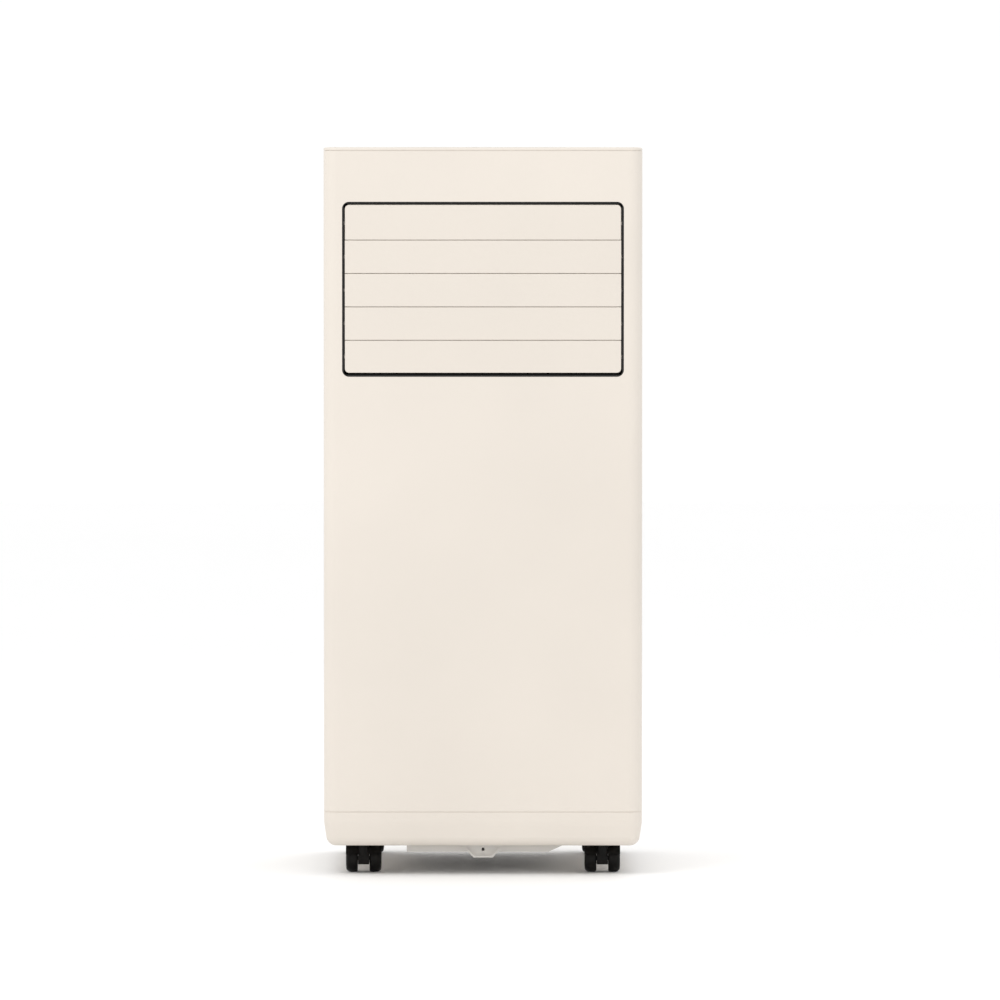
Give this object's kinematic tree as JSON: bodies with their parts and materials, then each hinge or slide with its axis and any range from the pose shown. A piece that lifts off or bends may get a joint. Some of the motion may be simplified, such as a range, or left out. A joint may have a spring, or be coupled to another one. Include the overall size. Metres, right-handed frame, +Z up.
{
  "type": "portable air conditioner",
  "caption": "Slim upright portable air conditioner: louvered front outlet, lid controls, rear grilles, hose collar, inner machine and swivel casters.",
  "frame": {"origin": "on the floor, under the middle of the cabinet's box", "axes": "+Z up; the air outlet faces -Y; +X to the right seen from the front"},
  "size_m": [0.3, 0.328, 0.686],
  "materials": {
    "body_plastic": "fine satin moulded, warm white",
    "louver_plastic": "fine satin moulded, warm white",
    "tray_plastic": "light grey moulded",
    "dark_plastic": "black moulded",
    "filter_mesh": "woven nylon screen",
    "panel_gloss": "gloss black overlay",
    "display_lens": "smoked window",
    "button_plastic": "soft-touch dark grey",
    "circuit_board": "green laminate",
    "caster_black": "black nylon",
    "soft_rubber": "moulded rubber",
    "screw_steel": "zinc plated",
    "inner_plastic": "dark grey moulded",
    "fin_aluminium": "pressed fins",
    "motor_steel": "pressed steel",
    "compressor_paint": "black enamel",
    "pipe_copper": "drawn copper"
  },
  "bodies": {
    "cabinet": {"front_panel": "body_plastic", "left_panel": "body_plastic", "right_panel": "body_plastic", "back_panel": "body_plastic", "top_cover": "body_plastic", "base_pan": "body_plastic", "exhaust_collar": "body_plastic", "sump_tray": "tray_plastic", "louver_frame": "dark_plastic", "cord_gland": "dark_plastic", "control_box": "dark_plastic", "control_panel": "panel_gloss", "display_window": "display_lens", "control_board": "circuit_board", "compressor_feet": "soft_rubber", "screws": "screw_steel", "partition_deck": "inner_plastic", "blower_scroll": "inner_plastic", "condenser_scroll": "inner_plastic", "evaporator_coil": "fin_aluminium", "condenser_coil": "fin_aluminium", "run_capacitor": "fin_aluminium", "blower_motor": "motor_steel", "condenser_motor": "motor_steel", "compressor": "compressor_paint", "accumulator": "compressor_paint", "refrigerant_pipes": "pipe_copper"},
    "louver_1": {"louver_1": "louver_plastic"},
    "louver_2": {"louver_2": "louver_plastic"},
    "louver_3": {"louver_3": "louver_plastic"},
    "louver_4": {"louver_4": "louver_plastic"},
    "louver_5": {"louver_5": "louver_plastic"},
    "louver_link": {"louver_link": "dark_plastic"},
    "vane_1": {"vane_1": "dark_plastic"},
    "vane_2": {"vane_2": "dark_plastic"},
    "vane_3": {"vane_3": "dark_plastic"},
    "vane_4": {"vane_4": "dark_plastic"},
    "vane_5": {"vane_5": "dark_plastic"},
    "vane_link": {"vane_link": "dark_plastic"},
    "button_power": {"button_power": "button_plastic"},
    "button_mode": {"button_mode": "button_plastic"},
    "button_cooler": {"button_cooler": "button_plastic"},
    "button_warmer": {"button_warmer": "button_plastic"},
    "button_fan_speed": {"button_fan_speed": "button_plastic"},
    "evaporator_blower": {"evaporator_blower": "inner_plastic"},
    "condenser_fan": {"condenser_fan": "inner_plastic"},
    "caster_hood_front_left": {"caster_hood_front_left": "caster_black"},
    "caster_wheels_front_left": {"caster_wheels_front_left": "caster_black"},
    "caster_hood_rear_left": {"caster_hood_rear_left": "caster_black"},
    "caster_wheels_rear_left": {"caster_wheels_rear_left": "caster_black"},
    "caster_hood_front_right": {"caster_hood_front_right": "caster_black"},
    "caster_wheels_front_right": {"caster_wheels_front_right": "caster_black"},
    "caster_hood_rear_right": {"caster_hood_rear_right": "caster_black"},
    "caster_wheels_rear_right": {"caster_wheels_rear_right": "caster_black"},
    "upper_grille_unit": {"upper_grille": "body_plastic", "upper_filter": "filter_mesh"},
    "lower_grille_unit": {"lower_grille": "body_plastic", "lower_filter": "filter_mesh"},
    "drain_plug_upper": {"drain_plug_upper": "soft_rubber"},
    "drain_plug_lower": {"drain_plug_lower": "soft_rubber"}
  },
  "joints": [
    {"name": "louver_1_tilt", "type": "hinge", "parent": "cabinet", "child": "louver_1", "pos_m": [0, -0.1574, 0.6148], "axis": [1, 0, 0], "range_deg": [0, 70]},
    {"name": "louver_2_tilt", "type": "hinge", "parent": "cabinet", "child": "louver_2", "pos_m": [0, -0.1574, 0.5834], "axis": [1, 0, 0], "range_deg": [0, 70]},
    {"name": "louver_3_tilt", "type": "hinge", "parent": "cabinet", "child": "louver_3", "pos_m": [0, -0.1574, 0.552], "axis": [1, 0, 0], "range_deg": [0, 70]},
    {"name": "louver_4_tilt", "type": "hinge", "parent": "cabinet", "child": "louver_4", "pos_m": [0, -0.1574, 0.5206], "axis": [1, 0, 0], "range_deg": [0, 70]},
    {"name": "louver_5_tilt", "type": "hinge", "parent": "cabinet", "child": "louver_5", "pos_m": [0, -0.1574, 0.4892], "axis": [1, 0, 0], "range_deg": [0, 70]},
    {"name": "louver_link_swing", "type": "hinge", "parent": "louver_1", "child": "louver_link", "pos_m": [-0.1381, -0.1454, 0.6148], "axis": [1, 0, 0], "range_deg": [-70, 0]},
    {"name": "vane_1_swing", "type": "hinge", "parent": "cabinet", "child": "vane_1", "pos_m": [-0.086, -0.118, 0.552], "axis": [0, 0, 1], "range_deg": [-35, 35]},
    {"name": "vane_2_swing", "type": "hinge", "parent": "cabinet", "child": "vane_2", "pos_m": [-0.043, -0.118, 0.552], "axis": [0, 0, 1], "range_deg": [-35, 35]},
    {"name": "vane_3_swing", "type": "hinge", "parent": "cabinet", "child": "vane_3", "pos_m": [0, -0.118, 0.552], "axis": [0, 0, 1], "range_deg": [-35, 35]},
    {"name": "vane_4_swing", "type": "hinge", "parent": "cabinet", "child": "vane_4", "pos_m": [0.043, -0.118, 0.552], "axis": [0, 0, 1], "range_deg": [-35, 35]},
    {"name": "vane_5_swing", "type": "hinge", "parent": "cabinet", "child": "vane_5", "pos_m": [0.086, -0.118, 0.552], "axis": [0, 0, 1], "range_deg": [-35, 35]},
    {"name": "vane_link_swing", "type": "hinge", "parent": "vane_1", "child": "vane_link", "pos_m": [-0.086, -0.1, 0.551], "axis": [0, 0, 1], "range_deg": [-35, 35]},
    {"name": "button_power_press", "type": "slide", "parent": "cabinet", "child": "button_power", "axis": [0, 0, -1], "range_m": [0, 0.0008], "stiffness_N_per_m": 400},
    {"name": "button_mode_press", "type": "slide", "parent": "cabinet", "child": "button_mode", "axis": [0, 0, -1], "range_m": [0, 0.0008], "stiffness_N_per_m": 400},
    {"name": "button_cooler_press", "type": "slide", "parent": "cabinet", "child": "button_cooler", "axis": [0, 0, -1], "range_m": [0, 0.0008], "stiffness_N_per_m": 400},
    {"name": "button_warmer_press", "type": "slide", "parent": "cabinet", "child": "button_warmer", "axis": [0, 0, -1], "range_m": [0, 0.0008], "stiffness_N_per_m": 400},
    {"name": "button_fan_speed_press", "type": "slide", "parent": "cabinet", "child": "button_fan_speed", "axis": [0, 0, -1], "range_m": [0, 0.0008], "stiffness_N_per_m": 400},
    {"name": "evaporator_blower_spin", "type": "hinge", "parent": "cabinet", "child": "evaporator_blower", "pos_m": [0, 0.02, 0.52], "axis": [0, 1, 0], "continuous": true},
    {"name": "condenser_fan_spin", "type": "hinge", "parent": "cabinet", "child": "condenser_fan", "pos_m": [0, 0, 0.3], "axis": [0, 1, 0], "continuous": true},
    {"name": "caster_swivel_front_left", "type": "hinge", "parent": "cabinet", "child": "caster_hood_front_left", "pos_m": [-0.113, -0.121, 0.03], "axis": [0, 0, 1], "continuous": true},
    {"name": "wheel_spin_front_left", "type": "hinge", "parent": "caster_hood_front_left", "child": "caster_wheels_front_left", "pos_m": [-0.113, -0.112, 0.013], "axis": [1, 0, 0], "continuous": true},
    {"name": "caster_swivel_rear_left", "type": "hinge", "parent": "cabinet", "child": "caster_hood_rear_left", "pos_m": [-0.113, 0.121, 0.03], "axis": [0, 0, 1], "continuous": true},
    {"name": "wheel_spin_rear_left", "type": "hinge", "parent": "caster_hood_rear_left", "child": "caster_wheels_rear_left", "pos_m": [-0.113, 0.13, 0.013], "axis": [1, 0, 0], "continuous": true},
    {"name": "caster_swivel_front_right", "type": "hinge", "parent": "cabinet", "child": "caster_hood_front_right", "pos_m": [0.113, -0.121, 0.03], "axis": [0, 0, 1], "continuous": true},
    {"name": "wheel_spin_front_right", "type": "hinge", "parent": "caster_hood_front_right", "child": "caster_wheels_front_right", "pos_m": [0.113, -0.112, 0.013], "axis": [1, 0, 0], "continuous": true},
    {"name": "caster_swivel_rear_right", "type": "hinge", "parent": "cabinet", "child": "caster_hood_rear_right", "pos_m": [0.113, 0.121, 0.03], "axis": [0, 0, 1], "continuous": true},
    {"name": "wheel_spin_rear_right", "type": "hinge", "parent": "caster_hood_rear_right", "child": "caster_wheels_rear_right", "pos_m": [0.113, 0.13, 0.013], "axis": [1, 0, 0], "continuous": true},
    {"name": "upper_grille_pull", "type": "slide", "parent": "cabinet", "child": "upper_grille_unit", "axis": [0, 1, 0], "range_m": [0, 0.06]},
    {"name": "lower_grille_pull", "type": "slide", "parent": "cabinet", "child": "lower_grille_unit", "axis": [0, 1, 0], "range_m": [0, 0.06]},
    {"name": "drain_plug_upper_pull", "type": "slide", "parent": "cabinet", "child": "drain_plug_upper", "axis": [0, 1, 0], "range_m": [0, 0.03]},
    {"name": "drain_plug_lower_pull", "type": "slide", "parent": "cabinet", "child": "drain_plug_lower", "axis": [0, 1, 0], "range_m": [0, 0.03]}
  ],
  "couplings": [
    {"joint": "louver_2_tilt", "follows": "louver_1_tilt", "ratio": 1},
    {"joint": "louver_3_tilt", "follows": "louver_1_tilt", "ratio": 1},
    {"joint": "louver_4_tilt", "follows": "louver_1_tilt", "ratio": 1},
    {"joint": "louver_5_tilt", "follows": "louver_1_tilt", "ratio": 1},
    {"joint": "louver_link_swing", "follows": "louver_1_tilt", "ratio": -1},
    {"joint": "vane_2_swing", "follows": "vane_1_swing", "ratio": 1},
    {"joint": "vane_3_swing", "follows": "vane_1_swing", "ratio": 1},
    {"joint": "vane_4_swing", "follows": "vane_1_swing", "ratio": 1},
    {"joint": "vane_5_swing", "follows": "vane_1_swing", "ratio": 1},
    {"joint": "vane_link_swing", "follows": "vane_1_swing", "ratio": -1}
  ]
}
